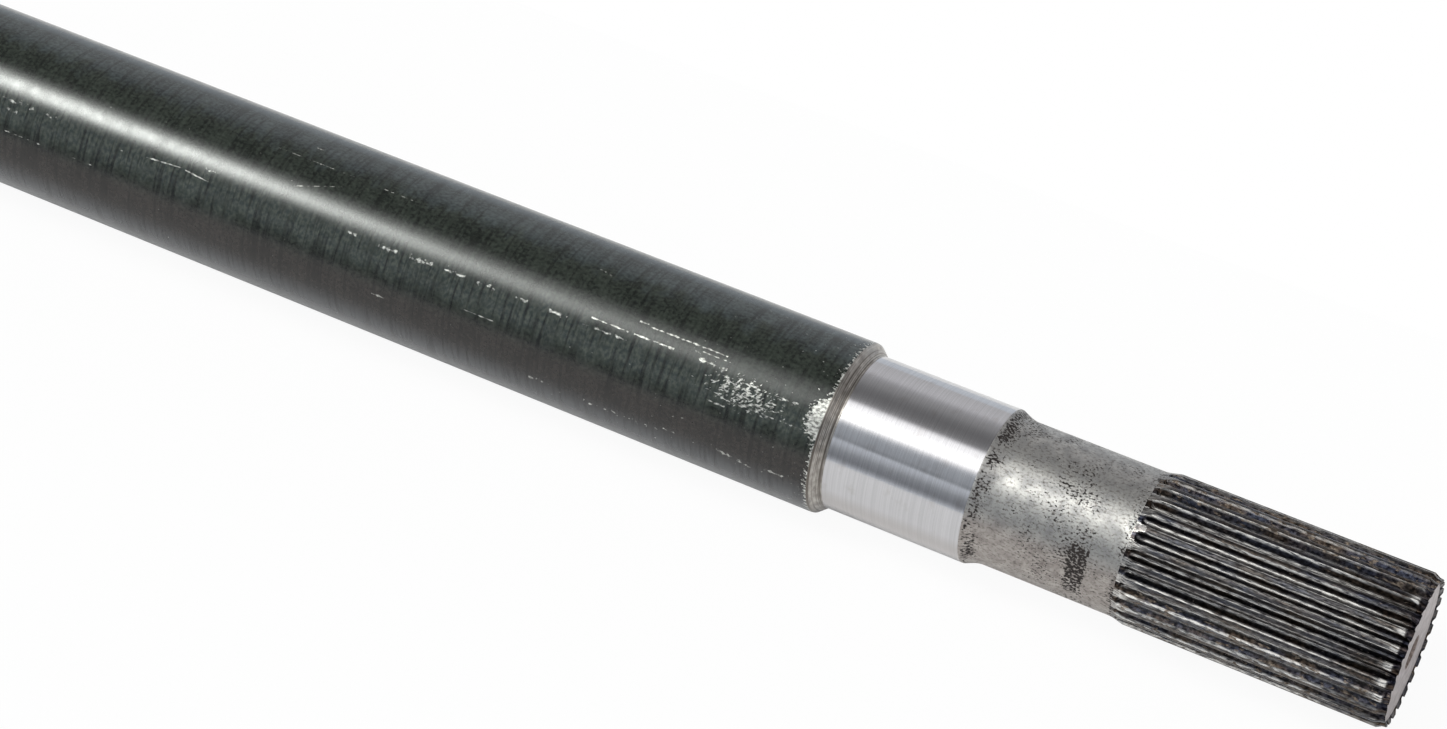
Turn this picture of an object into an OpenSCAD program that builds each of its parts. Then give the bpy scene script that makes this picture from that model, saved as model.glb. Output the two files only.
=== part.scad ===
// Splined axle shaft of a light vehicle, turned from one forged steel bar.
// The shaft lies along X, with its splined end towards +X and +Z up.
// The origin is the middle of the ground seal journal, on the shaft's axis.

/* [Bar] */
// Diameter of the black forged bar
bar_d = 34.25; // [33:0.05:40]
// Length of the bar at its full diameter, from the plain end to the shoulder
bar_len = 307.4; // [150:0.1:800]
// Width of the bevel round the plain end
plain_end_bevel = 2; // [0.5:0.1:4]

/* [Shoulder] */
// Length along the axis of the bevel from the bar down to the journal
shoulder_len = 2.1; // [1:0.1:6]
// Rounding of the shoulder's outer edge
shoulder_edge_r = 0.3; // [0.1:0.1:1]
// Fillet at the foot of the shoulder
shoulder_fillet_r = 0.6; // [0.1:0.1:1]

/* [Seal journal] */
// Diameter of the ground journal
journal_d = 30.6; // [30:0.05:32]
// Length of the journal, from the foot of the shoulder to the lead cone
journal_len = 28.5; // [15:0.1:60]
// Slope of the lead cone, measured from the axis
lead_angle = 23.5; // [15:0.5:45]
// Rounding where the journal meets the lead cone
lead_edge_r = 0.6; // [0.1:0.1:1]

/* [Neck] */
// Diameter of the waist between the journal and the spline
neck_d = 28.35; // [27.5:0.05:29]
// Length of the waist, from the journal's end to the tooth spaces
neck_len = 30.8; // [15:0.1:60]
// Blend from the lead cone into the waist
neck_blend_r = 6; // [1:0.5:10]

/* [Spline] */
// Number of teeth
teeth = 27; // [26:1:28]
// Teeth per inch of pitch diameter
diametral_pitch = 24; // [23.5:0.1:25]
// Slope of the tooth flanks at the pitch circle
pressure_angle = 30; // [28:0.5:32]
// Height of a tooth above the pitch circle, in modules
tooth_above = 0.5; // [0.4:0.05:0.6]
// Depth of a tooth space below the pitch circle, in modules
space_below = 0.9; // [0.8:0.05:0.95]
// Height of the rounded bottom of a tooth space, in modules
root_round = 0.25; // [0.2:0.05:0.35]
// Length of the spline, from the ends of the tooth spaces to the end face
spline_len = 51.2; // [30:0.1:90]
// Length over which the crests rise from the waist to their full height
crest_rise_len = 2.5; // [1:0.5:12]
// Distance before the tooth spaces at which the crests begin to rise
crest_rise_lead = 1.2; // [0:0.1:2]
// Slope of the wall that ends each tooth space at the waist, measured from the axis
end_wall_angle = 50; // [20:1:60]
// Length along the axis of the bevel across the tooth ends
tooth_bevel_len = 1.2; // [0.3:0.1:4]
// Diameter of the flat end face inside the tooth bevel
end_face_d = 28.3; // [24:0.1:28.3]

/* [Lathe centres] */
// Diameter of a centre's mouth
centre_mouth_d = 6.3; // [4:0.1:10]
// Diameter of a centre's pilot drilling
centre_pilot_d = 2.5; // [1.5:0.1:3.5]
// Length of the pilot drilling below the countersink
centre_pilot_len = 3; // [1:0.1:6]
// Full angle of the countersink
centre_angle = 60; // [45:1:90]

/* [Hidden] */
$fn = 180;
inch = 25.4;

// Facets on a turned rounding, along a tooth flank and round a tooth space's bottom
rounding_steps = 5;
flank_steps = 3;
root_steps = 6;

// Reach of a cutting shape past the surface that it cuts
overcut = 0.6;

bar_r = bar_d / 2;
journal_r = journal_d / 2;
neck_r = neck_d / 2;
end_face_r = end_face_d / 2;
shoulder_angle = atan2(bar_r - journal_r, shoulder_len);
lead_len = (journal_r - neck_r) / tan(lead_angle);

// Circles of the involute spline
module_mm = inch / diametral_pitch;
pitch_r = teeth * module_mm / 2;
base_r = pitch_r * cos(pressure_angle);
crest_r = pitch_r + tooth_above * module_mm;
root_r = pitch_r - space_below * module_mm;
form_r = root_r + root_round * module_mm;
cutter_top_r = max(crest_r, neck_r) + overcut;
tooth_pitch_angle = 360 / teeth;

// Stations along X
journal_end = journal_len / 2;
shoulder_foot = -journal_len / 2;
bar_end = shoulder_foot - shoulder_len;
plain_end = bar_end - bar_len;
spline_start = journal_end + neck_len;
crest_rise_start = spline_start - crest_rise_lead;
spline_end = spline_start + spline_len;

// Station where the end wall of a tooth space reaches the top of its cutting shape
cutter_start = spline_start - (cutter_top_r - neck_r) / tan(end_wall_angle);
cutter_end = spline_end + overcut;

// Outline points are [radius, station] pairs
// Rounding of an outer corner where the outline turns inwards by the given angle
function outer_round(corner, r, turn) = [
    for (i = [0 : rounding_steps])
        let (a = turn * i / rounding_steps)
        corner + [r * (cos(a) - 1), r * (sin(a) - tan(turn / 2))]
];

// Fillet of an inner corner where the outline turns back along the axis by the given angle
function inner_fillet(corner, r, turn) = [
    for (i = [0 : rounding_steps])
        let (a = turn * (1 - i / rounding_steps))
        corner + [r * (1 - cos(a)), r * (tan(turn / 2) - sin(a))]
];

// Involute function of an angle, in degrees
function involute(a) = tan(a) * 180 / PI - a;

// Half the angle that a tooth space takes up at a radius
function space_half_angle(r) =
    90 / teeth + involute(acos(base_r / r)) - involute(pressure_angle);

function flank_point(r, side) = r * [cos(space_half_angle(r)), side * sin(space_half_angle(r))];

function flank_radius(i) = form_r + (cutter_top_r - form_r) * i / flank_steps;

// Round bottom of a tooth space, an arc from flank to flank through the root circle
form_point = flank_point(form_r, 1);
root_sag = form_point.x - root_r;
root_arc_r = (pow(form_point.y, 2) + pow(root_sag, 2)) / (2 * root_sag);
root_arc_half = atan2(form_point.y, root_arc_r - root_sag);

function root_point(a) = [root_r + root_arc_r * (1 - cos(a)), root_arc_r * sin(a)];

// Outline of one tooth space, opening outwards along +X
space_outline = concat(
    [for (i = [flank_steps : -1 : 1]) flank_point(flank_radius(i), -1)],
    [for (i = [0 : root_steps]) root_point(root_arc_half * (2 * i / root_steps - 1))],
    [for (i = [1 : flank_steps]) flank_point(flank_radius(i), 1)]
);

// Outline of the turned blank, from the plain end to the splined end
blank_outline = concat(
    [[0, plain_end], [bar_r - plain_end_bevel, plain_end], [bar_r, plain_end + plain_end_bevel]],
    outer_round([bar_r, bar_end], shoulder_edge_r, shoulder_angle),
    inner_fillet([journal_r, shoulder_foot], shoulder_fillet_r, shoulder_angle),
    outer_round([journal_r, journal_end], lead_edge_r, lead_angle),
    inner_fillet([neck_r, journal_end + lead_len], neck_blend_r, lead_angle),
    [[neck_r, crest_rise_start], [crest_r, crest_rise_start + crest_rise_len]],
    [[crest_r, spline_end - tooth_bevel_len], [end_face_r, spline_end], [0, spline_end]]
);

// Turns a shape made along Z so that it lies along X, with its own X pointing up
module along_shaft() {
    rotate([0, 90, 0]) rotate([0, 0, 180]) children();
}

module turned_blank() {
    rotate_extrude() polygon(blank_outline);
}

// One tooth space, ended by a sloping wall at the waist
module tooth_space() {
    wall_reach = spline_len + pitch_r;
    intersection() {
        translate([0, 0, cutter_start])
            linear_extrude(cutter_end - cutter_start)
                polygon(space_outline);
        translate([neck_r, 0, spline_start])
            rotate([0, -end_wall_angle, 0])
                translate([0, -pitch_r, -wall_reach])
                    cube([wall_reach, 2 * pitch_r, 2 * wall_reach]);
    }
}

// Lathe centre drilled down along -Z from the plane Z = 0
module lathe_centre() {
    countersink_len = (centre_mouth_d - centre_pilot_d) / 2 / tan(centre_angle / 2);
    mouth_slope = (centre_mouth_d - centre_pilot_d) / countersink_len;
    translate([0, 0, -countersink_len])
        cylinder(h = countersink_len + overcut, d1 = centre_pilot_d,
            d2 = centre_mouth_d + overcut * mouth_slope);
    translate([0, 0, -countersink_len - centre_pilot_len])
        cylinder(h = centre_pilot_len + overcut, d = centre_pilot_d);
}

module axle_shaft() {
    color("dimgray")
        along_shaft()
            difference() {
                turned_blank();
                for (i = [0 : teeth - 1])
                    rotate([0, 0, (i + 0.5) * tooth_pitch_angle]) tooth_space();
                translate([0, 0, spline_end]) lathe_centre();
                translate([0, 0, plain_end]) mirror([0, 0, 1]) lathe_centre();
            }
}

axle_shaft();
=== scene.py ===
from math import cos, pi, radians, sin, tan

import bpy
import numpy as np
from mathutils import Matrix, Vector


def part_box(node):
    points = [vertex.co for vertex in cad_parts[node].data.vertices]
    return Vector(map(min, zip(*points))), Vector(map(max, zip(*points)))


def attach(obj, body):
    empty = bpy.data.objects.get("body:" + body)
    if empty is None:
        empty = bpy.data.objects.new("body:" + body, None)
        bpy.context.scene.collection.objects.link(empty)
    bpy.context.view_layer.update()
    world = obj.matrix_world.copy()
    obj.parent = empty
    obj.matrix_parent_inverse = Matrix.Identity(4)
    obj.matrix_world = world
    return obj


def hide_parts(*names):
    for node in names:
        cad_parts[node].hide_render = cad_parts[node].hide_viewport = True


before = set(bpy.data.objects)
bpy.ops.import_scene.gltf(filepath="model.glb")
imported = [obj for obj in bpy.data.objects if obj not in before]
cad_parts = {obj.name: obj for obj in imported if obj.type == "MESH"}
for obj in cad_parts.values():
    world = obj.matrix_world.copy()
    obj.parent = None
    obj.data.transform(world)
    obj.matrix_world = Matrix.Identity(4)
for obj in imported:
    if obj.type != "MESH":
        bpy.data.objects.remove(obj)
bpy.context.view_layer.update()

MM = 0.001
INCH = 25.4

# Sizes in millimetres, as in the part's source; the outer ones come from the frame
low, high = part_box("axle_shaft")
PLAIN_END = low[0] / MM
SPLINE_END = high[0] / MM
BAR_R = high[2] / MM
PLAIN_END_BEVEL = 2.0
SHOULDER_LEN = 2.1
SHOULDER_EDGE_R = 0.3
SHOULDER_FILLET_R = 0.6
JOURNAL_R = 15.3
JOURNAL_LEN = 28.5
LEAD_ANGLE = radians(23.5)
LEAD_EDGE_R = 0.6
NECK_R = 14.175
NECK_LEN = 30.8
NECK_BLEND_R = 6.0
TEETH = 27
DIAMETRAL_PITCH = 24
PRESSURE_ANGLE = radians(30)
TOOTH_ABOVE = 0.5
SPACE_BELOW = 0.9
ROOT_ROUND = 0.25
CREST_RISE_LEN = 2.5
CREST_RISE_LEAD = 1.2
END_WALL_ANGLE = radians(50)
TOOTH_BEVEL_LEN = 1.2
END_FACE_R = 14.15
CENTRE_MOUTH_R = 3.15
CENTRE_PILOT_R = 1.25
CENTRE_PILOT_LEN = 3.0
CENTRE_HALF_ANGLE = radians(30)

# Stations along the shaft
JOURNAL_END = JOURNAL_LEN / 2
SHOULDER_FOOT = -JOURNAL_LEN / 2
BAR_END = SHOULDER_FOOT - SHOULDER_LEN
SHOULDER_ANGLE = np.arctan2(BAR_R - JOURNAL_R, SHOULDER_LEN)
LEAD_END = JOURNAL_END + (JOURNAL_R - NECK_R) / tan(LEAD_ANGLE)
SPLINE_START = JOURNAL_END + NECK_LEN
CREST_RISE_START = SPLINE_START - CREST_RISE_LEAD
CREST_RISE_END = CREST_RISE_START + CREST_RISE_LEN
TOOTH_BEVEL_START = SPLINE_END - TOOTH_BEVEL_LEN

# Circles of the involute spline
MODULE = INCH / DIAMETRAL_PITCH
PITCH_R = TEETH * MODULE / 2
BASE_R = PITCH_R * cos(PRESSURE_ANGLE)
CREST_R = PITCH_R + TOOTH_ABOVE * MODULE
ROOT_R = PITCH_R - SPACE_BELOW * MODULE
FORM_R = ROOT_R + ROOT_ROUND * MODULE
TOOTH_PITCH = 2 * pi / TEETH

# Marks of making and use: the scale's thickness and the half width of its worn edge, the wear along
# the tooth edges, the shoulder's tool grooves by station, half width and depth, and the rounding of
# the corners where the tooth spaces end at the neck
SCALE_THICKNESS = 0.06
SCALE_EDGE_ROUND = 0.15
EDGE_WEAR = 0.08
SHOULDER_GROOVES = ((-15.45, 0.26, 0.12), (-14.58, 0.17, 0.10), (-16.05, 0.12, 0.03))
NOSE_ROUND = 0.45

# Lip that rolling the spline pushed out: the flat face inside it, its height, and its rise at the teeth
FACED_R = ROOT_R - 0.1
END_LIP = 0.28
TOOTH_END_LIP = 0.28

# Camera of the photograph, which is 1447 x 729 pixels: it stands to the front right and above the
# shaft, and its distance and aim are in metres
LENS_MM = 83.03
CAMERA_AZIMUTH = radians(27.84)
CAMERA_ELEVATION = radians(48.37)
CAMERA_DISTANCE = 0.62056
CAMERA_AIM = Vector((-0.03812, -0.00846, 0.01509))


# Turned outline of the blank

ROUNDING_POINTS = 6


def outer_round(x, r, radius, turn):
    """Rounding of an outer corner where the outline turns inwards."""
    a = np.linspace(0, turn, ROUNDING_POINTS)
    return np.stack([x + radius * (np.sin(a) - tan(turn / 2)), r + radius * (np.cos(a) - 1)], 1)


def inner_fillet(x, r, radius, turn):
    """Fillet of an inner corner where the outline turns back along the axis."""
    a = np.linspace(turn, 0, ROUNDING_POINTS)
    return np.stack([x + radius * (tan(turn / 2) - np.sin(a)), r + radius * (1 - np.cos(a))], 1)


# Fillet at the foot of the crests' rise: it faces the other way, so it is mirrored
CREST_SLOPE = np.arctan2(CREST_R - NECK_R, CREST_RISE_LEN)
CREST_FOOT = inner_fillet(0, NECK_R, NECK_BLEND_R, CREST_SLOPE)[::-1] * (-1, 1)

OUTLINE = np.concatenate([
    [[PLAIN_END, BAR_R - PLAIN_END_BEVEL], [PLAIN_END + PLAIN_END_BEVEL, BAR_R]],
    outer_round(BAR_END, BAR_R, SHOULDER_EDGE_R, SHOULDER_ANGLE),
    inner_fillet(SHOULDER_FOOT, JOURNAL_R, SHOULDER_FILLET_R, SHOULDER_ANGLE),
    outer_round(JOURNAL_END, JOURNAL_R, LEAD_EDGE_R, LEAD_ANGLE),
    inner_fillet(LEAD_END, NECK_R, NECK_BLEND_R, LEAD_ANGLE),
    CREST_FOOT + (CREST_RISE_START, 0),
    [[CREST_RISE_END, CREST_R], [TOOTH_BEVEL_START, CREST_R], [SPLINE_END, END_FACE_R]],
])


def blank_radius(x):
    """Radius of the blank at a station."""
    return np.interp(x, OUTLINE[:, 0], OUTLINE[:, 1])


# Tooth space: its half angle at a radius, and its surface's radius at an angle

FLANK_POINTS = 24
BOTTOM_POINTS = 8
ABOVE_CRESTS = 1.0


def involute(a):
    """Involute function of an angle."""
    return np.tan(a) - a


def space_half_angle(r):
    """Half the angle that a tooth space takes up at a radius."""
    return pi / 2 / TEETH + involute(np.arccos(BASE_R / r)) - involute(PRESSURE_ANGLE)


def tooth_space():
    """Angles from the middle of a space to well above the crests, and the radius at each."""
    flank_r = np.linspace(FORM_R, CREST_R + ABOVE_CRESTS, FLANK_POINTS)
    flank = space_half_angle(flank_r)
    sag = FORM_R * cos(flank[0]) - ROOT_R
    half_width = FORM_R * sin(flank[0])
    arc_r = (half_width ** 2 + sag ** 2) / (2 * sag)
    a = np.linspace(0, np.arctan2(half_width, arc_r - sag), BOTTOM_POINTS)[:-1]
    bottom_x = ROOT_R + arc_r * (1 - np.cos(a))
    bottom_y = arc_r * np.sin(a)
    angles = np.concatenate([np.arctan2(bottom_y, bottom_x), flank])
    return angles, np.concatenate([np.hypot(bottom_x, bottom_y), flank_r])


SPACE_ANGLES, SPACE_RADII = tooth_space()


def space_edge(x):
    """Angle from the middle of a space to its edge on the blank."""
    return np.interp(blank_radius(x), SPACE_RADII, SPACE_ANGLES)


def end_wall(x, from_middle):
    """Radius of the sloping wall that ends a space at the waist, with its corners rounded."""
    back = NOSE_ROUND * (from_middle / space_edge(x)) ** 2
    return NECK_R - (x - SPLINE_START - back) * tan(END_WALL_ANGLE)


# Random patches and smooth borders of the wear

# Length of a patch that runs past both ends of the shaft
WHOLE_LENGTH = 900


def smooth(value, start, end):
    """Smooth step from 0 at start to 1 at end."""
    t = np.clip((value - start) / (end - start), 0, 1)
    return t * t * (3 - 2 * t)


def between(value, start, full, fade, end):
    """1 from full to fade, falling smoothly to 0 at start and at end."""
    return smooth(value, start, full) * (1 - smooth(value, fade, end))


def patches(x, angle, along, around, seed):
    """Smooth random patches from 0 to 1, along mm long and around mm wide on the bar."""
    count = max(3, round(2 * pi * BAR_R / around))
    rows = int((SPLINE_END - PLAIN_END) / along) + 3
    grid = np.random.default_rng(seed).random((rows, count))
    u = (x - PLAIN_END) / along
    v = (angle / (2 * pi) % 1) * count
    i = np.floor(u).astype(int)
    j = np.floor(v).astype(int)
    fu = smooth(u - i, 0, 1)
    fv = smooth(v - j, 0, 1)
    near = grid[i, j % count] * (1 - fv) + grid[i, (j + 1) % count] * fv
    far = grid[i + 1, j % count] * (1 - fv) + grid[i + 1, (j + 1) % count] * fv
    return near * (1 - fu) + far * fu


# Mesh of the shaft: rings of points along it, with the columns gathered at the tooth edges

# Columns across one pitch, numbered from the middle of a space: their places from there to the
# space's edge, the width of the worn edge, and the numbers of the two edges
COLUMNS = 12
SPACE_SHARES = np.array([0, 0.22, 0.42, 0.72, 1.0])
EDGE_WIDTH = radians(0.6)
NEAR_EDGE, FAR_EDGE = 4, 8

# How bright each column of the spline is worn
RUBBED_COLUMNS = np.array([0.85, 0.45, 0.04, 0.0, 1.0, 0.17, 0.12, 0.17, 1.0, 0.0, 0.04, 0.45])

# Places in degrees from the top towards the front, as start and full, or as start, full, fade
# and end: the bite out of the scale's edge, the one tooth whose start is painted darker and pitted
# as shade over the lamp's highlight, the teeth that stay bright to the end, the ones above them,
# whose lines are brightened as painted highlights, the rusty ones behind the top, the rusty ones
# below the front, whose lines are brightened as painted glints, and the ones underneath
BITE = (24, 29, 49, 53)
LAMP_SHADED_TOOTH = (17, 22, 31, 36)
BRIGHT_TEETH = (20, 27, 42, 48)
UPPER_TEETH = (-6, 2, 18, 28)
BEHIND_TOP = (0, -12)
BELOW_FRONT = (66, 80)
UNDERNEATH = (92, 104)

# Stations between which the spline darkens towards its end, on the teeth and in the spaces
TEETH_DARKEN = (79, 90)
SPACES_DARKEN = (86, 92)

# Pitted places on the neck: stations and degrees from the top, each as start, full, fade and end
LOW_PATCH = ((33.9, 34.6, 37.8, 38.6), (50, 58, 100, 106))
LOW_TRAIL = ((35, 36, 38, 39), (33, 40, 54, 60))
TOP_PATCH = ((26, 29, 33, 36), (0, 8, 20, 30))

# Stretches between two stations and the spacing of their rings
STRETCHES = (
    (PLAIN_END, PLAIN_END + PLAIN_END_BEVEL, 0.5),
    (PLAIN_END + PLAIN_END_BEVEL, -80, 7),
    (-80, -38, 1.3),
    (-38, BAR_END - 2.6, 0.55),
    (BAR_END - 2.6, SHOULDER_FOOT + 0.6, 0.13),
    (SHOULDER_FOOT + 0.6, JOURNAL_END - 0.6, 2.2),
    (JOURNAL_END - 0.6, LEAD_END + 2.2, 0.2),
    (LEAD_END + 2.2, CREST_RISE_START, 0.75),
    (CREST_RISE_START, SPLINE_START - 0.5, 0.2),
    (SPLINE_START - 0.5, CREST_RISE_END + 0.1, 0.1),
    (CREST_RISE_END + 0.1, TOOTH_BEVEL_START, 1.4),
    (TOOTH_BEVEL_START, SPLINE_END, 0.2),
)


def ring_stations():
    """Station of every ring of the turned surface."""
    stations = []
    for start, end, spacing in STRETCHES:
        steps = max(1, round((end - start) / spacing))
        stations.extend(np.linspace(start, end, steps, endpoint=False))
    return np.array(stations + [SPLINE_END])


def column_angles(x):
    """Angle of every column at every station, from the top round towards the front. The columns are
    even along the bar, and over the neck they gather at the tooth edges."""
    edge = space_edge(x)[:, None]
    half = np.concatenate([edge * SPACE_SHARES, edge + EDGE_WIDTH], 1)
    middle = np.full((len(x), 1), TOOTH_PITCH / 2)
    gathered = np.concatenate([half, middle, TOOTH_PITCH - half[:, :0:-1]], 1)
    even = np.arange(COLUMNS) * TOOTH_PITCH / COLUMNS
    share = smooth(x, LEAD_END + 4, CREST_RISE_START - 2)[:, None]
    offsets = even * (1 - share) + gathered * share
    starts = -pi + np.arange(TEETH) * TOOTH_PITCH
    return (starts[None, :, None] + offsets[:, None, :]).reshape(len(x), -1)


def scale_edge(x, angle):
    """Distance past the ragged edge of the scale at the shoulder, with a bite out of its front."""
    ragged = 0.3 * patches(x, angle, WHOLE_LENGTH, 1.1, 3)
    ragged = ragged + 0.45 * patches(x, angle, WHOLE_LENGTH, 4.5, 4)
    bite = 1.3 + 1.6 * patches(x, angle, WHOLE_LENGTH, 2.2, 5)
    bite = bite + 1.2 * patches(x, angle, WHOLE_LENGTH, 0.9, 6)
    bite = bite * between(np.degrees(angle), *BITE)
    return x - (BAR_END + 0.2 - ragged - bite)


def rubbed_and_painted_glint_share(x, angle, column):
    """How bright the spline is worn: along tooth edges and the bottoms of spaces, where the tooth
    tops start at the neck, and on some tooth ends. One tooth's start is painted darker as shade over
    the lamp's highlight. It is dimmer towards the splined end, behind the top, and on the tooth tops
    above and underneath the front. Above and below the front its lines are brightened further as
    painted highlights and glints."""
    degrees = np.degrees(angle)
    rubbed_and_painted_glints = RUBBED_COLUMNS[column]
    bottom = (column < 2) | (column == COLUMNS - 1)
    bright = smooth(x, SPLINE_START, SPLINE_START + 0.4) * (1 - 0.75 * smooth(x, *SPACES_DARKEN))
    rubbed_and_painted_glints = rubbed_and_painted_glints * np.where(bottom, bright, 1)

    tooth = (column >= NEAR_EDGE) & (column <= FAR_EDGE)
    dark_end = smooth(x, *TEETH_DARKEN) * (1 - between(degrees, *BRIGHT_TEETH))
    rubbed_and_painted_glints = rubbed_and_painted_glints * np.where(tooth, 1 - 0.65 * dark_end, 1)
    start = 1 - smooth(x, SPLINE_START + 0.3, SPLINE_START + 4.5)
    # Where the lamp's highlight falls on one tooth's start, that start is painted darker as shade
    start = start * (0.7 - 0.62 * between(degrees, *LAMP_SHADED_TOOTH))
    end = smooth(x, TOOTH_BEVEL_START - 1.6, TOOTH_BEVEL_START - 0.9)
    worn_teeth = patches(np.full_like(x, PLAIN_END), angle, WHOLE_LENGTH, 3.4, 9)
    end = 1.8 * end * smooth(worn_teeth, 0.45, 0.75)
    rubbed_and_painted_glints = np.where(tooth, np.maximum.reduce([rubbed_and_painted_glints, start, end]), rubbed_and_painted_glints)

    behind = smooth(degrees, *BEHIND_TOP)
    above = between(degrees, *UPPER_TEETH)
    below = smooth(degrees, *BELOW_FRONT)
    underneath = smooth(degrees, *UNDERNEATH)
    tooth_top = (column > NEAR_EDGE) & (column < FAR_EDGE)
    rubbed_and_painted_glints = rubbed_and_painted_glints * np.where(tooth_top, 1 - 0.6 * np.maximum(above, underneath), 1)
    bevel = smooth(x, TOOTH_BEVEL_START, TOOTH_BEVEL_START + 0.5)
    # Above and below the front the lines are brightened as painted highlights and glints, where the
    # light catches them; behind the top they are dimmer
    return rubbed_and_painted_glints * (1 - 0.4 * behind + 0.45 * above + 0.4 * below) * (1 - bevel)


def underside(angle):
    """How far a point lies towards the underside: 0 on top and in front, near 1 where the bar's scale
    turns brown, near 2 where it is dusty below and where the journal is darkened as painted shade.
    The neck turns pinkish with it.
    """
    off = np.abs(np.degrees(angle) + 20)
    return smooth(off, 74, 92) + smooth(off, 100, 122)


def rust_share(angle):
    """Share of rust on the spline: most behind the top and below the front."""
    degrees = np.degrees(angle)
    return np.maximum(smooth(degrees, *BEHIND_TOP), smooth(degrees, *BELOW_FRONT))


def pit_share(x, angle):
    """How thickly rust pits crowd: at the lead cone, in a patch below the front with a trail above it,
    in a patch near the top, at the ends of the tooth spaces, thinly elsewhere."""
    degrees = np.degrees(angle)
    cone = between(x, JOURNAL_END - 0.4, JOURNAL_END + 0.6, JOURNAL_END + 1.2, JOURNAL_END + 5)
    cone = cone * (0.2 + 0.85 * patches(x, angle, 2.5, 3, 7))
    patch, trail, above = [
        between(x, *stations) * between(degrees, *turns)
        for stations, turns in (LOW_PATCH, LOW_TRAIL, TOP_PATCH)
    ]
    patch = patch * (0.95 - 0.2 * smooth(degrees, 75, 100))
    trail = 0.85 * trail * patches(x, angle, 1.6, 1.6, 11)
    above = 0.8 * above * patches(x, angle, 2.5, 2.5, 10)
    noses = 0.9 * smooth(x, 41.5, SPLINE_START - 0.8) * patches(x, angle, 1.5, 1.5, 12)
    # More pits on that tooth's start, as painted shade over the lamp's highlight
    painted_shade_pits = 0.62 * smooth(x, 42.4, 43.6) * between(degrees, *LAMP_SHADED_TOOTH)
    thin = 0.65 * patches(x, angle, 3.5, 3.5, 8) ** 2
    return np.maximum.reduce([cone, patch, trail, above, noses, painted_shade_pits, thin])


def shaft_surface(x):
    """Stations, angles and radii of the points on every ring, and the wear at each."""
    angle = column_angles(x)
    station = np.repeat(x[:, None], angle.shape[1], 1)
    blank = blank_radius(x)[:, None]
    from_space = np.abs((angle + pi + TOOTH_PITCH / 2) % TOOTH_PITCH - TOOTH_PITCH / 2)
    space = np.interp(from_space, SPACE_ANGLES, SPACE_RADII)
    radius = np.minimum(blank, np.maximum(space, end_wall(station, from_space)))
    column = np.broadcast_to(np.arange(angle.shape[1]) % COLUMNS, angle.shape)
    on_edge = (column == NEAR_EDGE) | (column == FAR_EDGE)
    toothed = smooth(station, CREST_RISE_END - 0.5, CREST_RISE_END + 1)
    radius -= EDGE_WEAR * on_edge * toothed
    past_edge = scale_edge(station, angle)
    bared = smooth(past_edge, -SCALE_EDGE_ROUND, SCALE_EDGE_ROUND)
    radius -= SCALE_THICKNESS * bared * (station < BAR_END)
    for middle, half_width, depth in SHOULDER_GROOVES:
        radius -= depth * np.clip(1 - np.abs(station - middle) / half_width, 0, 1)
    # The lip that rolling pushed out past the end face is highest at the teeth
    station[-1] += END_LIP + TOOTH_END_LIP * smooth(radius[-1], ROOT_R, END_FACE_R)
    wear = {
        "past_scale_edge": past_edge,
        "underside_dust_and_shade": underside(angle),
        "rubbed_and_painted_glints": rubbed_and_painted_glint_share(station, angle, column),
        "rust": rust_share(angle),
        "pits": pit_share(station, angle),
    }
    return station, angle, radius, wear


# Rings that close the ends, from the rim to the bottom of the lathe centre
FACE_RINGS = 5
MOUTH_ROUND_WIDTH = 0.2
MOUTH_ROUND_DEPTH = 0.12
CENTRE_DEPTH = (CENTRE_MOUTH_R - CENTRE_PILOT_R) / tan(CENTRE_HALF_ANGLE)


def face_rings(rim_r):
    """Depths below an end face, and radii, of the rings on it."""
    return [(0, r) for r in np.linspace(rim_r, CENTRE_MOUTH_R + MOUTH_ROUND_WIDTH, FACE_RINGS)]


CENTRE_RINGS = [
    (MOUTH_ROUND_DEPTH, CENTRE_MOUTH_R),
    (CENTRE_DEPTH / 2, (CENTRE_MOUTH_R + CENTRE_PILOT_R) / 2),
    (CENTRE_DEPTH, CENTRE_PILOT_R),
    (CENTRE_DEPTH + CENTRE_PILOT_LEN, CENTRE_PILOT_R),
]


# Materials

def hex_colour(code):
    """An sRGB hex colour as linear red, green, blue and alpha."""
    srgb = np.array([int(code[i:i + 2], 16) / 255 for i in (1, 3, 5)])
    linear = np.where(srgb <= 0.04045, srgb / 12.92, ((srgb + 0.055) / 1.055) ** 2.4)
    return (*[float(v) for v in linear], 1.0)


# A Mix node has sockets of one name for every kind of value, so they are given by number: input 0 is
# the share, 2 and 3 are numbers, 6 and 7 are colours, and output 2 is the mixed colour

def add(tree, kind, inputs=(), output=0, **settings):
    """Adds a node with its settings and gives back one output. Each input takes a value, a hex
    colour or a link; inputs without names are taken in order."""
    node = tree.nodes.new("ShaderNode" + kind)
    for name, value in settings.items():
        setattr(node, name, value)
    for name, value in inputs.items() if isinstance(inputs, dict) else enumerate(inputs):
        if isinstance(value, bpy.types.NodeSocket):
            tree.links.new(value, node.inputs[name])
        else:
            node.inputs[name].default_value = hex_colour(value) if isinstance(value, str) else value
    return node.outputs[output] if node.outputs else None


def new_material(name):
    """An empty material and its node tree."""
    material = bpy.data.materials.new(name)
    material.use_nodes = True
    material.node_tree.nodes.clear()
    return material, material.node_tree


def marks(tree, along, around, detail=2.0, shift=0.0, turn=0.0):
    """Random marks from 0 to 1, each about along mm long and around mm wide."""
    flat = add(tree, "UVMap", uv_map="unrolled")
    turned = add(tree, "Mapping", {"Vector": flat, "Rotation": (0, 0, turn)})
    placing = {"Vector": turned, "Location": (shift, shift, 0), "Scale": (1 / along, 1 / around, 1)}
    scaled = add(tree, "Mapping", placing)
    return add(tree, "TexNoise", {"Vector": scaled, "Scale": 1.0, "Detail": detail})


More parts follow.
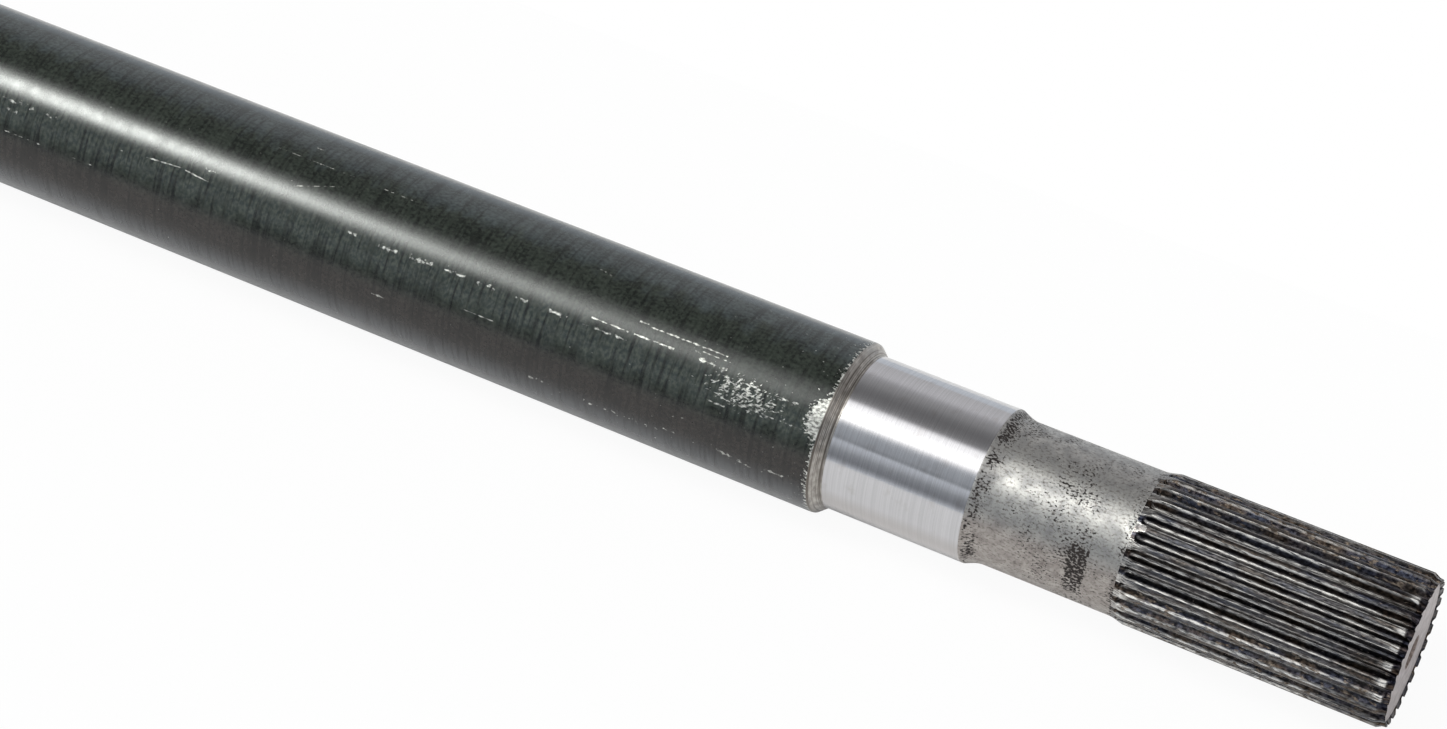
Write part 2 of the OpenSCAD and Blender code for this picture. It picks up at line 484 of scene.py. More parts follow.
# Scratches and chipped lines on the bar: the station and degrees round from the top where each
# starts and ends, its half width in mm, and how whole it is
SCRATCHES = (
    (-201.5, 39.9, -193.0, 39.9, 1.10, 0.68),
    (-190.9, 39.9, -187.5, 39.9, 1.00, 0.66),
    (-199.8, 46.4, -196.4, 46.4, 1.20, 0.66),
    (-198.4, 60.9, -189.5, 60.9, 0.40, 0.66),
    (-182.7, 60.9, -176.7, 60.9, 0.30, 0.58),
    (-171.6, 43.9, -169.0, 42.9, 0.50, 0.68),
    (-165.6, 41.9, -157.9, 39.9, 0.35, 0.85),
    (-157.9, 39.9, -151.0, 41.9, 0.45, 0.85),
    (-153.6, 34.4, -150.2, 34.4, 1.00, 0.66),
    (-141.6, 1.4, -123.6, 1.4, 0.30, 0.62),
    (-134.7, -11.1, -133.0, -11.1, 0.70, 0.70),
    (-133.9, 23.9, -124.5, 11.9, 0.24, 0.72),
    (-119.3, 38.9, -116.8, 38.9, 1.20, 0.70),
    (-116.8, 1.9, -107.3, 1.9, 0.35, 0.68),
    (-112.1, 38.9, -107.9, 38.9, 1.40, 0.74),
    (-111.1, 71.9, -108.2, 71.9, 0.60, 0.74),
    (-105.1, 38.9, -100.1, 38.4, 1.40, 0.74),
    (-97.9, 38.0, -92.8, 38.0, 1.10, 0.68),
    (-91.1, 57.9, -84.2, 57.9, 0.25, 0.72),
    (-90.2, 37.9, -85.9, 37.9, 1.20, 0.70),
    (-81.7, 37.9, -79.1, 37.9, 1.00, 0.66),
    (-74.8, 37.9, -70.5, 37.9, 1.20, 0.70),
    (-75.7, 88.0, -69.7, 88.0, 1.10, 0.62),
    (-69.3, -1.6, -66.2, 0.0, 0.70, 0.68),
    (-67.1, 37.9, -56.8, 37.4, 0.70, 0.68),
    (-65.9, 31.9, -58.0, 32.1, 0.45, 0.88),
    (-63.7, 90.0, -46.5, 89.0, 1.10, 0.58),
    (-56.8, 31.9, -48.3, 31.4, 0.50, 0.90),
    (-56.8, 22.9, -54.3, 22.9, 1.10, 0.64),
    (-54.3, 23.9, -38.0, 23.4, 0.40, 0.85),
    (-46.5, 86.0, -44.0, 86.0, 1.00, 0.55),
    (-44.8, 27.9, -43.1, 28.4, 1.20, 0.77),
    (-43.1, 31.4, -37.1, 31.9, 1.10, 0.72),
    (-43.1, 26.4, -37.1, 26.4, 0.40, 0.72),
    (-38.8, 53.4, -35.1, 53.9, 0.50, 0.85),
    (-36.3, 85.0, -27.7, 90.0, 2.00, 0.60),
    (-35.4, 49.4, -19.1, 48.9, 0.50, 0.72),
    (-26.0, 36.9, -21.7, 34.9, 1.30, 0.64),
    (-25.1, 86.0, -20.9, 86.0, 1.00, 0.62),
)


# Scuffed patch beside the shoulder: station and arc of its middle, half its length and width, in mm
SCUFF_STATION = -32.0
SCUFF_ARC = 12.5
SCUFF_HALF_LEN = 12.0
SCUFF_HALF_WIDTH = 4.6


def scratch(tree, along, around, start, start_turn, end, end_turn, half_width, whole):
    """One scratch on the unrolled bar: its share falls from whole at the middle to 0 at the sides."""
    arcs = [radians(turn) * BAR_R for turn in (start_turn, end_turn)]
    path = add(tree, "MapRange", (along, start, end, *arcs))
    off = add(tree, "Math", (around, path), operation="SUBTRACT")
    off = add(tree, "Math", (off,), operation="ABSOLUTE")
    line = add(tree, "MapRange", (off, half_width, 0.0, 0.0, whole))
    within = add(tree, "Math", (along, (start + end) / 2, (end - start) / 2), operation="COMPARE")
    return add(tree, "Math", (line, within), operation="MULTIPLY")


def bare_patches(tree):
    """Share of bare steel on the bar: past the ragged edge by the shoulder, in the scuffed patch
    beside it, along the scratches, and in stray chips."""
    flat = add(tree, "UVMap", uv_map="unrolled")
    along = add(tree, "SeparateXYZ", (flat,), "X")
    around = add(tree, "SeparateXYZ", (flat,), "Y")
    past_edge = add(tree, "Attribute", output="Fac", attribute_name="past_scale_edge")
    fray = add(tree, "MapRange", (marks(tree, 0.7, 0.55, 5), 0.3, 0.7, -1.3, 1.3))
    frayed = add(tree, "Math", (past_edge, fray), operation="ADD")
    edge = add(tree, "MapRange", (frayed, -0.05, 0.05))

    scale = (1 / SCUFF_HALF_LEN, 1 / SCUFF_HALF_WIDTH, 0)
    middle = (-SCUFF_STATION / SCUFF_HALF_LEN, -SCUFF_ARC / SCUFF_HALF_WIDTH, 0)
    patch = add(tree, "VectorMath", (flat, scale, middle), operation="MULTIPLY_ADD")
    reach = add(tree, "VectorMath", (patch,), "Value", operation="LENGTH")
    scuffed = add(tree, "MapRange", (reach, 1.25, 0.4, 0.0, 0.27))
    flakes = marks(tree, 1.7, 0.6, 6, 2.0)
    crossing = marks(tree, 1.3, 0.6, 6, 6.0, 0.8)
    crossing = add(tree, "Math", (flakes, crossing), operation="MAXIMUM")
    crossing = add(tree, "Math", (crossing, scuffed), operation="ADD")
    scuff = add(tree, "MapRange", (crossing, 0.80, 0.86))

    struck = scratch(tree, along, around, *SCRATCHES[0])
    for stroke in SCRATCHES[1:]:
        line = scratch(tree, along, around, *stroke)
        struck = add(tree, "Math", (struck, line), operation="MAXIMUM")
    struck = add(tree, "Math", (struck, 0.55, marks(tree, 1.1, 0.9, 6, 4.0)), operation="MULTIPLY_ADD")
    line = add(tree, "MapRange", (struck, 0.82, 0.94))
    crowd = add(tree, "MapRange", (along, -70.0, BAR_END, 0.0, 0.06))
    chip = add(tree, "Math", (marks(tree, 0.9, 0.6, 2, 9.0), crowd), operation="ADD")
    chip = add(tree, "MapRange", (chip, 0.76, 0.83))
    bare = add(tree, "Math", (edge, scuff), operation="MAXIMUM")
    bare = add(tree, "Math", (bare, line), operation="MAXIMUM")
    return add(tree, "Math", (bare, chip), operation="MAXIMUM")


def mill_scale():
    """Mill scale: the blue-black oxide skin of a hot-rolled bar under an old coat of oil. It shines
    like dark glass, has a painted sheen along the front, lighter and greener, in which its rings
    show strongly, is brown and dusty underneath, and is scratched and chipped down to bare steel."""
    material, tree = new_material("mill_scale")
    flat = add(tree, "UVMap", uv_map="unrolled")
    around = add(tree, "SeparateXYZ", (flat,), "Y")
    bare = bare_patches(tree)

    # The front is greenish black and the back slate grey. The band between the front and the brown
    # underside, with its middle 45 degrees from the top, is a painted sheen of the front's light:
    # lighter and greener, with the scale's rings showing strongly in it
    wander = add(tree, "MapRange", (marks(tree, 3, 4, 5), 0.3, 0.7, -2.8, 2.8))
    wander = add(tree, "Math", (around, wander), operation="ADD")
    behind = add(tree, "MapRange", (wander, 0.5, -3.5))
    off = add(tree, "Math", (wander, radians(45) * BAR_R), operation="SUBTRACT")
    off = add(tree, "Math", (off,), operation="ABSOLUTE")
    sheen_band = add(tree, "MapRange", (off, radians(19) * BAR_R, radians(4) * BAR_R))
    underside_dust_and_shade = add(tree, "Attribute", output="Fac", attribute_name="underside_dust_and_shade")

    cloud = add(tree, "MapRange", (marks(tree, 5, 6, 5), 0.35, 0.65))
    grain = add(tree, "MapRange", (marks(tree, 0.8, 0.7, 4, 12.0), 0.35, 0.65))
    cloud = add(tree, "Mix", {0: 0.65, 2: cloud, 3: grain})
    front = add(tree, "Mix", {0: cloud, 6: "#0b110d", 7: "#393f38"}, 2, data_type="RGBA")
    back = add(tree, "Mix", {0: cloud, 6: "#202728", 7: "#474f4f"}, 2, data_type="RGBA")
    skin = add(tree, "Mix", {0: behind, 6: front, 7: back}, 2, data_type="RGBA")
    # Colours of the painted sheen, speckled
    speck = add(tree, "MapRange", (marks(tree, 0.7, 0.9, 4, 7.0), 0.38, 0.66))
    sheen = add(tree, "Mix", {0: speck, 6: "#2c3332", 7: "#4b5049"}, 2, data_type="RGBA")
    skin = add(tree, "Mix", {0: sheen_band, 6: skin, 7: sheen}, 2, data_type="RGBA")
    under = add(tree, "Mix", {0: cloud, 6: "#151311", 7: "#332e2b"}, 2, data_type="RGBA")
    dust = add(tree, "MapRange", (underside_dust_and_shade, 1.0, 2.0))
    under = add(tree, "Mix", {0: dust, 6: under, 7: "#48494b"}, 2, data_type="RGBA")
    skin = add(tree, "Mix", {0: underside_dust_and_shade, 6: skin, 7: under}, 2, data_type="RGBA")
    # The scale's rings: strongest in the painted sheen band, fainter elsewhere
    ring = add(tree, "MapRange", (marks(tree, 0.9, 13, 4), 0.36, 0.52, 0.25, 1.0))
    ringed = add(tree, "MapRange", (sheen_band, 0.0, 1.0, 0.65, 1.0))
    skin = add(tree, "Mix", {0: ringed, 6: skin, 7: ring}, 2, data_type="RGBA", blend_type="MULTIPLY")

    tone = add(tree, "MapRange", (marks(tree, 0.7, 0.45, 4), 0.38, 0.6))
    steel = add(tree, "Mix", {0: tone, 6: "#6f6e6a", 7: "#d6d6d0"}, 2, data_type="RGBA")
    colour = add(tree, "Mix", {0: bare, 6: skin, 7: steel}, 2, data_type="RGBA")
    gloss = add(tree, "MapRange", (marks(tree, 2.5, 3, 4, 1.0), 0.3, 0.7, 0.14, 0.22))
    roughness = add(tree, "Mix", {0: bare, 2: gloss, 3: 0.4})
    metallic = add(tree, "Math", (bare, 0.5), operation="MULTIPLY")
    peel = add(tree, "Math", (marks(tree, 0.5, 0.5), bare), operation="SUBTRACT")
    bump = add(tree, "Bump", {"Height": peel, "Strength": 0.4, "Distance": 0.012 * MM})
    surface = {"Base Color": colour, "Metallic": metallic, "Roughness": roughness, "Normal": bump}
    add(tree, "OutputMaterial", (add(tree, "BsdfPrincipled", surface),))
    return material


def turned_steel():
    """Turned steel: bare and slightly warm, with the fine rings that a lathe tool leaves, drawn as
    darker lines."""
    material, tree = new_material("turned_steel")
    stain = add(tree, "MapRange", (marks(tree, 0.7, 1.8, 4), 0.35, 0.65))
    colour = add(tree, "Mix", {0: stain, 6: "#8f8a85", 7: "#bab5af"}, 2, data_type="RGBA")
    ring = add(tree, "MapRange", (marks(tree, 0.22, 50, 3), 0.44, 0.6))
    colour = add(tree, "Mix", {0: ring, 6: colour, 7: "#68625c"}, 2, data_type="RGBA")
    bump = add(tree, "Bump", {"Height": ring, "Strength": 0.8, "Distance": 0.03 * MM})
    surface = {"Base Color": colour, "Metallic": 1.0, "Roughness": 0.3, "Normal": bump}
    add(tree, "OutputMaterial", (add(tree, "BsdfPrincipled", surface),))
    return material


def ground_steel():
    """Ground steel: bright and nearly mirror-like, with a few dull stains, and darker underneath as
    painted shade.
    Its grinding lines run round the journal, and are drawn about three times too wide so that
    they show."""
    material, tree = new_material("ground_steel")
    lines = marks(tree, 0.3, 60, 2)
    ground = add(tree, "MapRange", (lines, 0.35, 0.65))
    colour = add(tree, "Mix", {0: ground, 6: "#c3c2c4", 7: "#cfced0"}, 2, data_type="RGBA")
    stain = add(tree, "MapRange", (marks(tree, 3, 5, 5, 3.0), 0.58, 0.75, 0.0, 0.35))
    # The underside is darkened as painted shade
    painted_underside_shade = add(tree, "Attribute", output="Fac", attribute_name="underside_dust_and_shade")
    painted_underside_shade = add(tree, "MapRange", (painted_underside_shade, 1.3, 2.0, 0.0, 0.45))
    stain = add(tree, "Math", (stain, painted_underside_shade), operation="MAXIMUM")
    colour = add(tree, "Mix", {0: stain, 6: colour, 7: "#a59c97"}, 2, data_type="RGBA")
    roughness = add(tree, "MapRange", (marks(tree, 5, 9, 3), 0.3, 0.7, 0.10, 0.15))
    bump = add(tree, "Bump", {"Height": lines, "Strength": 0.22, "Distance": 0.006 * MM})
    surface = {"Base Color": colour, "Metallic": 1.0, "Roughness": roughness, "Normal": bump}
    add(tree, "OutputMaterial", (add(tree, "BsdfPrincipled", surface),))
    return material


def pitted_steel():
    """Turned steel that stood in the damp: a dull grey, pinkish below, peppered with rust pits."""
    material, tree = new_material("pitted_steel")
    crowd = add(tree, "Attribute", output="Fac", attribute_name="pits")
    crowded = add(tree, "Math", (crowd, 0.3, marks(tree, 0.6, 0.5, 3)), operation="MULTIPLY_ADD")
    pit = add(tree, "MapRange", (crowded, 0.68, 0.76))
    speck = add(tree, "MapRange", (marks(tree, 0.65, 0.55, 4, 5.0), 0.5, 0.68, 0.0, 0.7))
    cloud = add(tree, "MapRange", (marks(tree, 2.4, 2.8, 5), 0.32, 0.68))
    warm = add(tree, "Attribute", output="Fac", attribute_name="underside_dust_and_shade")
    steel = add(tree, "Mix", {0: cloud, 6: "#999897", 7: "#bdbbb7"}, 2, data_type="RGBA")
    blush = add(tree, "Mix", {0: cloud, 6: "#968f8b", 7: "#b8b2ad"}, 2, data_type="RGBA")
    steel = add(tree, "Mix", {0: warm, 6: steel, 7: blush}, 2, data_type="RGBA")
    steel = add(tree, "Mix", {0: speck, 6: steel, 7: "#6a635e"}, 2, data_type="RGBA")
    colour = add(tree, "Mix", {0: pit, 6: steel, 7: "#2b2523"}, 2, data_type="RGBA")
    metallic = add(tree, "MapRange", (pit, 0.0, 1.0, 1.0, 0.3))
    dull = add(tree, "MapRange", (cloud, 0.0, 1.0, 0.50, 0.38))
    roughness = add(tree, "Mix", {0: pit, 2: dull, 3: 0.75})
    height = add(tree, "Math", (marks(tree, 0.5, 0.5, 3), pit), operation="SUBTRACT")
    bump = add(tree, "Bump", {"Height": height, "Strength": 0.5, "Distance": 0.06 * MM})
    surface = {"Base Color": colour, "Metallic": metallic, "Roughness": roughness, "Normal": bump}
    add(tree, "OutputMaterial", (add(tree, "BsdfPrincipled", surface),))
    return material


def blackened_spline():
    """Spline steel blackened by heat and oil: blue-black and brown-black, with the tooth edges and
    the bottoms of the spaces worn bright, brightened further above and below the front as painted
    highlights and glints, and flecks of rust."""
    material, tree = new_material("blackened_spline")
    # Worn bright places, with painted highlights and glints above and below the front
    rubbed_and_painted_glints = add(tree, "Attribute", output="Fac", attribute_name="rubbed_and_painted_glints")
    streak = add(tree, "MapRange", (marks(tree, 1.8, 0.28, 4), 0.38, 0.58, 0.12, 1.0))
    rubbed_and_painted_glints = add(tree, "Math", (rubbed_and_painted_glints, streak), operation="MULTIPLY")
    cloud = add(tree, "MapRange", (marks(tree, 0.8, 0.45, 5, 2.0), 0.42, 0.64))
    blue = add(tree, "Mix", {0: cloud, 6: "#0f111b", 7: "#414451"}, 2, data_type="RGBA")
    brown = add(tree, "Mix", {0: cloud, 6: "#181310", 7: "#54483f"}, 2, data_type="RGBA")
    tint = add(tree, "MapRange", (marks(tree, 8, 3, 4, 6.0), 0.4, 0.6))
    black = add(tree, "Mix", {0: tint, 6: blue, 7: brown}, 2, data_type="RGBA")
    colour = add(tree, "Mix", {0: rubbed_and_painted_glints, 6: black, 7: "#d8d5d1"}, 2, data_type="RGBA")
    rust = add(tree, "Attribute", output="Fac", attribute_name="rust")
    spread = add(tree, "Math", (rust, 0.11, marks(tree, 2.0, 0.5, 4, 3.0)), operation="MULTIPLY_ADD")
    fleck = add(tree, "MapRange", (spread, 0.66, 0.74))
    tone = add(tree, "MapRange", (marks(tree, 0.8, 0.4, 2, 8.0), 0.42, 0.6))
    rusty = add(tree, "Mix", {0: tone, 6: "#33281f", 7: "#7d7064"}, 2, data_type="RGBA")
    colour = add(tree, "Mix", {0: fleck, 6: colour, 7: rusty}, 2, data_type="RGBA")
    matt = add(tree, "Math", (rubbed_and_painted_glints, fleck), operation="MAXIMUM")
    metallic = add(tree, "MapRange", (matt, 0.0, 1.0, 1.0, 0.5))
    roughness = add(tree, "MapRange", (fleck, 0.0, 1.0, 0.26, 0.6))
    tooling = {"Height": marks(tree, 1.2, 0.3, 4), "Strength": 0.5, "Distance": 0.04 * MM}
    bump = add(tree, "Bump", tooling)
    surface = {"Base Color": colour, "Metallic": metallic, "Roughness": roughness, "Normal": bump}
    add(tree, "OutputMaterial", (add(tree, "BsdfPrincipled", surface),))
    return material


def faced_steel():
    """Faced steel: the flat ends, matt and pinkish grey, with rings from the facing tool."""
    material, tree = new_material("faced_steel")
    place = add(tree, "TexCoord", output="Object")
    cloud = add(tree, "TexNoise", {"Vector": place, "Scale": 1 / (1.6 * MM), "Detail": 5.0})
    cloud = add(tree, "MapRange", (cloud, 0.3, 0.7))
    colour = add(tree, "Mix", {0: cloud, 6: "#a49c9b", 7: "#c6bfbe"}, 2, data_type="RGBA")
    tool = {"Vector": place, "Scale": 0.3 / (0.6 * MM), "Distortion": 0.4}
    rings = add(tree, "TexWave", tool, wave_type="RINGS", rings_direction="X")
    bump = add(tree, "Bump", {"Height": rings, "Strength": 0.3, "Distance": 0.02 * MM})
    surface = {"Base Color": colour, "Metallic": 0.7, "Roughness": 0.5, "Normal": bump}
    add(tree, "OutputMaterial", (add(tree, "BsdfPrincipled", surface),))
    return material


def rusty_bore():
    """Drilled steel that kept a coat of rust and old grease: brown and nearly matt."""
    material, tree = new_material("rusty_bore")
    place = add(tree, "TexCoord", output="Object")
    cloud = add(tree, "TexNoise", {"Vector": place, "Scale": 1 / (0.8 * MM), "Detail": 3.0})
    cloud = add(tree, "MapRange", (cloud, 0.35, 0.65))
    colour = add(tree, "Mix", {0: cloud, 6: "#5d4e47", 7: "#978b84"}, 2, data_type="RGBA")
    surface = {"Base Color": colour, "Metallic": 0.6, "Roughness": 0.55}
    add(tree, "OutputMaterial", (add(tree, "BsdfPrincipled", surface),))
    return material


FINISHES = (
    mill_scale, turned_steel, ground_steel, pitted_steel, blackened_spline, faced_steel, rusty_bore,
)
SCALE, TURNED, GROUND, PITTED, SPLINE, FACED, BORE = range(len(FINISHES))


def finish_between(x):
    """Number of the finish at a station of the turned surface."""
    limits = (
        PLAIN_END + PLAIN_END_BEVEL,
        BAR_END,
        SHOULDER_FOOT + 0.3,
        JOURNAL_END - 0.15,
        CREST_RISE_START + 0.35,
    )
    return np.array([TURNED, SCALE, TURNED, GROUND, PITTED, SPLINE])[np.searchsorted(limits, x)]


# Angle between faces from which their edge is sharp
SHARP_ANGLE = radians(32)

# Map for baking: the unrolled shaft cut across into strips, with room at their ends and sides
STRIPS = 4
STRIP_END_ROOM = 4.0
STRIP_SIDE_ROOM = radians(3)


def laid_in_strips(path, middle, turn, length):
    """Places on a square map of points given by path along the surface and turn round it. The path's
    middle on each face says which strip the face is in. The strips lie two by two."""
    strip_len = length / STRIPS
    strip = np.clip((middle / strip_len).astype(int), 0, STRIPS - 1)
    across = (path - strip * strip_len + STRIP_END_ROOM) / (strip_len + 2 * STRIP_END_ROOM)
    up = (pi - turn + STRIP_SIDE_ROOM) / (2 * pi + 2 * STRIP_SIDE_ROOM)
    return np.stack([strip % 2 + across, strip // 2 + up], 1) / 2


def shaft_rings():
    """Stations, angles and radii of the rings from one lathe centre to the other, the wear at every
    point, and the finish between each ring and the next."""
    x = ring_stations()
    station, angle, radius, wear = shaft_surface(x)
    columns = angle.shape[1]
    plain_face = face_rings(BAR_R - PLAIN_END_BEVEL)[1:]
    splined_face = face_rings(FACED_R)
    before = np.array([(PLAIN_END + depth, r) for depth, r in (plain_face + CENTRE_RINGS)[::-1]])
    after = np.array([(SPLINE_END - depth, r) for depth, r in splined_face + CENTRE_RINGS])

    def with_ends(values, first, last):
        """Values on the turned rings, between those on the rings that close the two ends."""
        first, last = [np.repeat(end[:, None], columns, 1) for end in (first, last)]
        return np.concatenate([first, values, last])

    station = with_ends(station, before[:, 0], after[:, 0])
    radius = with_ends(radius, before[:, 1], after[:, 1])
    first_turn = np.repeat(angle[:1], len(before), 0)
    last_turn = np.repeat(angle[-1:], len(after), 0)
    angle = np.concatenate([first_turn, angle, last_turn])
    unworn = np.zeros(len(before)), np.zeros(len(after))
    wear = {name: with_ends(values, *unworn) for name, values in wear.items()}
    finishes = [BORE] * len(CENTRE_RINGS) + [FACED] * len(plain_face)
    finishes += list(finish_between((x[1:] + x[:-1]) / 2))
    finishes += [SPLINE] + [FACED] * (len(splined_face) - 1) + [BORE] * len(CENTRE_RINGS)
    return station, angle, radius, wear, finishes


def shaft_faces(rings, columns):
    """Corners of the quads between the rings, and of the fans that close the first and last ring."""
    ring, column = np.meshgrid(np.arange(rings - 1), np.arange(columns), indexing="ij")
    following = (column + 1) % columns
    quads = np.stack([
        ring * columns + column,
        ring * columns + following,
        (ring + 1) * columns + following,
        (ring + 1) * columns + column,
    ], 2).reshape(-1, 4)
    rim = np.arange(columns)
    onward = (rim + 1) % columns
    last_ring = (rings - 1) * columns
    first_pole = np.full(columns, rings * columns)
    first_fan = np.stack([first_pole, onward, rim], 1)
    last_fan = np.stack([first_pole + 1, last_ring + rim, last_ring + onward], 1)
    return quads, first_fan, last_fan


def corner_turns(angle, quads):
    """Turn round the shaft at the corners of the quads and fans. It runs on past a full turn at the
    seam, and a fan's pole takes the turn half way between its other corners."""
    quad_turn = angle.ravel()[quads]
    quad_turn[:, 1:3] += 2 * pi * (quad_turn[:, 1:3] < quad_turn[:, :1] - pi)
    first, last = angle[0], angle[-1]
    first_on, last_on = [np.append(rim[1:], rim[0] + 2 * pi) for rim in (first, last)]
    first_turn = np.stack([(first + first_on) / 2, first_on, first], 1)
    last_turn = np.stack([(last + last_on) / 2, last, last_on], 1)
    return np.concatenate([quad_turn.ravel(), first_turn.ravel(), last_turn.ravel()])


def strip_places(station, radius, corners, quads, turn):
    """Places of all corners on the map for baking, from the path along the shaft's surface."""
    steps = np.hypot(np.diff(station.mean(1)), np.diff(radius.mean(1)))
    ring_path = CENTRE_PILOT_R + np.concatenate([[0], np.cumsum(steps)])
    length = ring_path[-1] + CENTRE_PILOT_R
    path = np.concatenate([np.repeat(ring_path, station.shape[1]), [0, length]])[corners]
    quad_middle = path[:quads.size].reshape(-1, 4).mean(1)
    fan_middle = path[quads.size:].reshape(-1, 3).mean(1)
    middle = np.concatenate([np.repeat(quad_middle, 4), np.repeat(fan_middle, 3)])
    return laid_in_strips(path, middle, turn, length)


def axle_shaft():
    """The whole shaft as one closed mesh, from the plain end's lathe centre to the splined end's."""
    station, angle, radius, wear, finishes = shaft_rings()
    rings, columns = station.shape
    quads, first_fan, last_fan = shaft_faces(rings, columns)
    points = np.stack([station, -radius * np.sin(angle), radius * np.cos(angle)], 2).reshape(-1, 3)
    pole_stations = [station[0, 0], station[-1, 0]]
    poles = [(x, 0, 0) for x in pole_stations]
    places = np.concatenate([points, poles]) * MM
    mesh = bpy.data.meshes.new("axle_shaft_turned")
    mesh.from_pydata(places.tolist(), [], quads.tolist() + first_fan.tolist() + last_fan.tolist())

    slots = np.concatenate([np.repeat(finishes, columns), np.full(2 * columns, BORE)])
    mesh.polygons.foreach_set("material_index", slots.astype(np.int32))
    for make in FINISHES:
        mesh.materials.append(make())
    for name, values in wear.items():
        layer = mesh.attributes.new(name, "FLOAT", "POINT")
        layer.data.foreach_set("value", np.append(values, [0, 0]).astype(np.float32))

    corners = np.concatenate([quads.ravel(), first_fan.ravel(), last_fan.ravel()])
    along = np.append(station, pole_stations)[corners]
    turn = corner_turns(angle, quads)
    maps = {
        "unrolled": np.stack([along, turn * BAR_R], 1),
        "OFBake": strip_places(station, radius, corners, quads, turn),
    }
    for name, flat in maps.items():
        layer = mesh.uv_layers.new(name=name)
        layer.data.foreach_set("uv", flat.astype(np.float32).ravel())
    mesh.polygons.foreach_set("use_smooth", np.ones(len(mesh.polygons), bool))
    mesh.set_sharp_from_angle(angle=SHARP_ANGLE)
    mesh.update()
    piece = bpy.data.objects.new("axle_shaft_turned", mesh)
    bpy.context.scene.collection.objects.link(piece)
    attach(piece, "root")
    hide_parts("axle_shaft")


# Room: a white floor, and a studio of plain bands of light round the shaft

# The floor's reach to the sides and front and its end behind the shaft, in metres, and how white it
# is to the camera and in the metal
FLOOR_REACH = 3.0
FLOOR_BACK = 0.09
SHOWN_WHITE = 0.94
MIRRORED_WHITE = 0.2


def studio_floor():
    """White paper: matt, and white to the camera and in the metal, with the shaft's shadow on it. It
    ends a hand's width behind the shaft, so that the back of the shaft mirrors the greyer room."""
    z = -BAR_R * MM
    far = FLOOR_REACH
    mesh = bpy.data.meshes.new("floor")
    corners = [(-far, -far, z), (far, -far, z), (far, FLOOR_BACK, z), (-far, FLOOR_BACK, z)]
    mesh.from_pydata(corners, [], [(0, 1, 2, 3)])
    material, tree = new_material("white_paper")
    paper = add(tree, "BsdfDiffuse", {"Color": "#f1f0f0"})
    white = add(tree, "Emission", {"Color": "#ffffff", "Strength": 1.0})
    mirrored = add(tree, "LightPath", output="Is Glossy Ray")
    through = add(tree, "LightPath", output="Is Transmission Ray")
    mirrored = add(tree, "Math", (mirrored, through), operation="MAXIMUM")
    mirrored = add(tree, "Math", (mirrored, MIRRORED_WHITE), operation="MULTIPLY")
    seen = add(tree, "LightPath", output="Is Camera Ray")
    seen = add(tree, "Math", (seen, SHOWN_WHITE), operation="MULTIPLY")
    glow = add(tree, "Math", (seen, mirrored), operation="MAXIMUM")
    add(tree, "OutputMaterial", (add(tree, "MixShader", (glow, paper, white)),))
    mesh.materials.append(material)
    floor = bpy.data.objects.new("floor", mesh)
    bpy.context.scene.collection.objects.link(floor)


# Bands of the studio by their height above the front horizon, in degrees, and the light of each
ROOM_BANDS = (
    (0, "#b3b8be"), (2, "#a5a9af"), (4, "#8c9095"), (9, "#6f7276"), (13, "#76797e"), (20, "#84888c"),
    (25, "#9ca0a5"), (31, "#b0b5bb"), (33, "#b5bac0"), (35.5, "#7b7f83"), (38, "#7d8185"),
    (40, "#8c9095"), (47, "#90959a"), (53, "#95999e"), (56, "#a2a7ac"), (60.5, "#d0d0d2"),
    (63.5, "#ffffff"), (88, "#ffffff"), (91, "#d0d0d2"), (94, "#8a8a8b"), (97, "#767677"),
    (104, "#69696a"), (112, "#656566"), (120, "#6e6e6f"), (128, "#7f7f80"), (136, "#8a8a8b"),
    (142, "#969698"), (150, "#b1b1b3"), (156, "#b3b3b5"), (180, "#aaaaab"),
)
ROOM_STRENGTH = 1.5

# Lamp over the front: its height and spread in degrees, as the bands have them, how far it stands
# towards the plain end, from 0 to -1, how fast it fades along the shaft, and its strength
LAMP_HEIGHT = 71.0
LAMP_SPREAD = 9.0
LAMP_SIDE = -0.50
LAMP_FALL = 17.0
LAMP_STRENGTH = 40.0


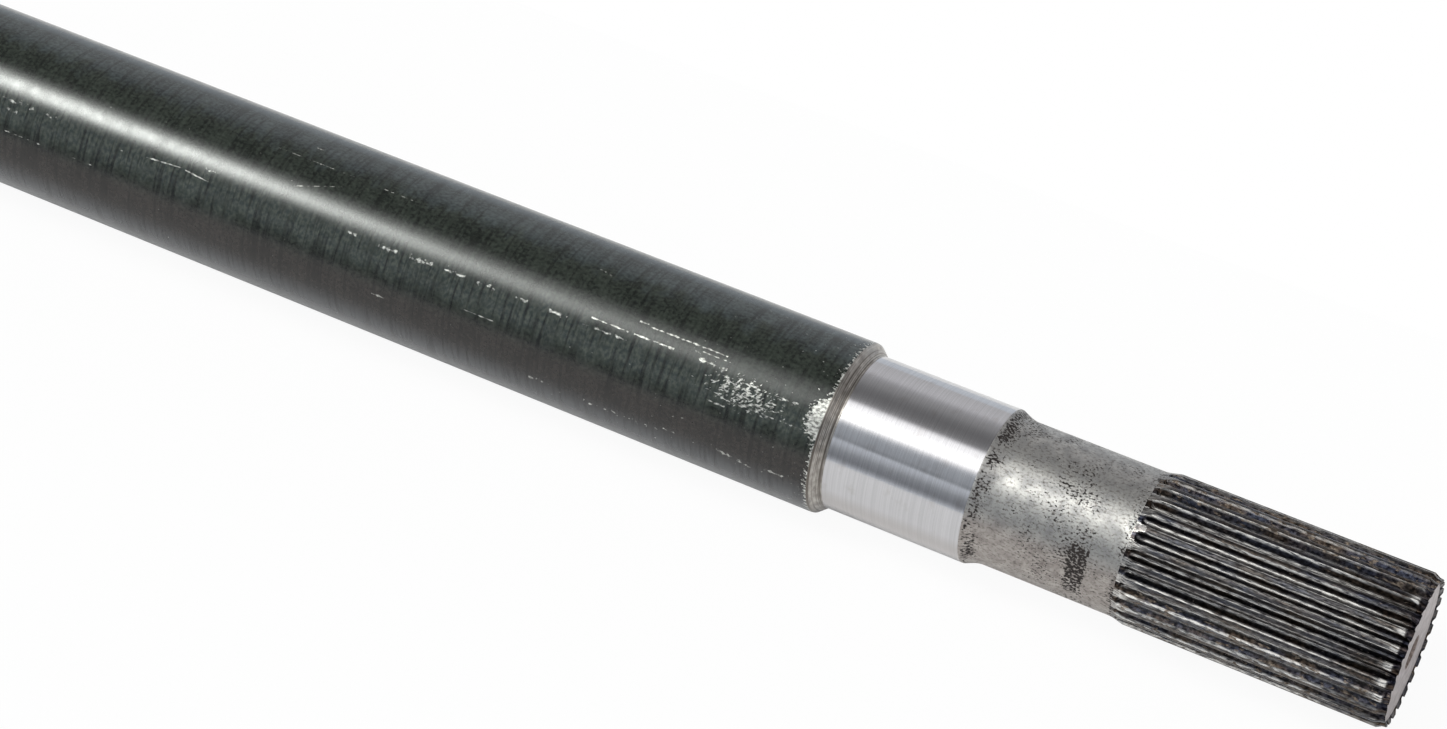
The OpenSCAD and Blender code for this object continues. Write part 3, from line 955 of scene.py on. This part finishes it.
def studio_room():
    """Bands of light from the front horizon over the top to the back one, with a soft lamp in them. The
    camera sees plain white instead."""
    world = bpy.data.worlds.new("studio_room")
    world.use_nodes = True
    tree = world.node_tree
    tree.nodes.clear()
    way = add(tree, "TexCoord", output="Generated")
    side = add(tree, "SeparateXYZ", (way,), "X")
    back = add(tree, "SeparateXYZ", (way,), "Y")
    up = add(tree, "SeparateXYZ", (way,), "Z")
    front = add(tree, "Math", (back, -1.0), operation="MULTIPLY")
    height = add(tree, "Math", (up, front), operation="ARCTAN2")
    bands = add(tree, "ValToRGB", (add(tree, "MapRange", (height, 0.0, pi)),))
    stops = bands.node.color_ramp.elements
    while len(stops) < len(ROOM_BANDS):
        stops.new(0.5)
    for stop, (degrees, colour) in zip(stops, ROOM_BANDS):
        stop.position = degrees / 180
        stop.color = hex_colour(colour)
    off_height = add(tree, "Math", (height, radians(LAMP_HEIGHT)), operation="SUBTRACT")
    off_height = add(tree, "Math", (off_height, radians(LAMP_SPREAD)), operation="DIVIDE")
    off_height = add(tree, "Math", (off_height, 2.0), operation="POWER")
    off_side = add(tree, "Math", (side, LAMP_SIDE), operation="SUBTRACT")
    off_side = add(tree, "Math", (off_side,), operation="ABSOLUTE")
    fall = add(tree, "Math", (off_side, LAMP_FALL, off_height), operation="MULTIPLY_ADD")
    fall = add(tree, "Math", (fall, -1.0), operation="MULTIPLY")
    lamp = add(tree, "Math", (fall,), operation="EXPONENT")
    lamp = add(tree, "Math", (lamp, LAMP_STRENGTH), operation="MULTIPLY")
    room = add(tree, "Background", {"Color": bands, "Strength": ROOM_STRENGTH})
    softbox = add(tree, "Background", {"Color": "#fbfffa", "Strength": lamp})
    lit = add(tree, "AddShader", (room, softbox))
    white = add(tree, "Background", {"Color": "#ffffff", "Strength": 1.0})
    seen = add(tree, "LightPath", output="Is Camera Ray")
    add(tree, "OutputWorld", {"Surface": add(tree, "MixShader", (seen, lit, white))})
    bpy.context.scene.world = world


def photo_camera():
    """Camera where the photograph was taken from."""
    data = bpy.data.cameras.new("camera")
    data.lens = LENS_MM
    data.sensor_width = 36.0
    data.sensor_fit = "HORIZONTAL"
    data.clip_start = 0.01
    camera = bpy.data.objects.new("camera", data)
    flat = cos(CAMERA_ELEVATION)
    back = Vector((sin(CAMERA_AZIMUTH) * flat, -cos(CAMERA_AZIMUTH) * flat, sin(CAMERA_ELEVATION)))
    camera.location = CAMERA_AIM + back * CAMERA_DISTANCE
    camera.rotation_euler = back.to_track_quat("Z", "Y").to_euler()
    bpy.context.scene.collection.objects.link(camera)
    bpy.context.scene.camera = camera


axle_shaft()
studio_floor()
studio_room()
photo_camera()
bpy.context.scene.view_settings.view_transform = "Standard"
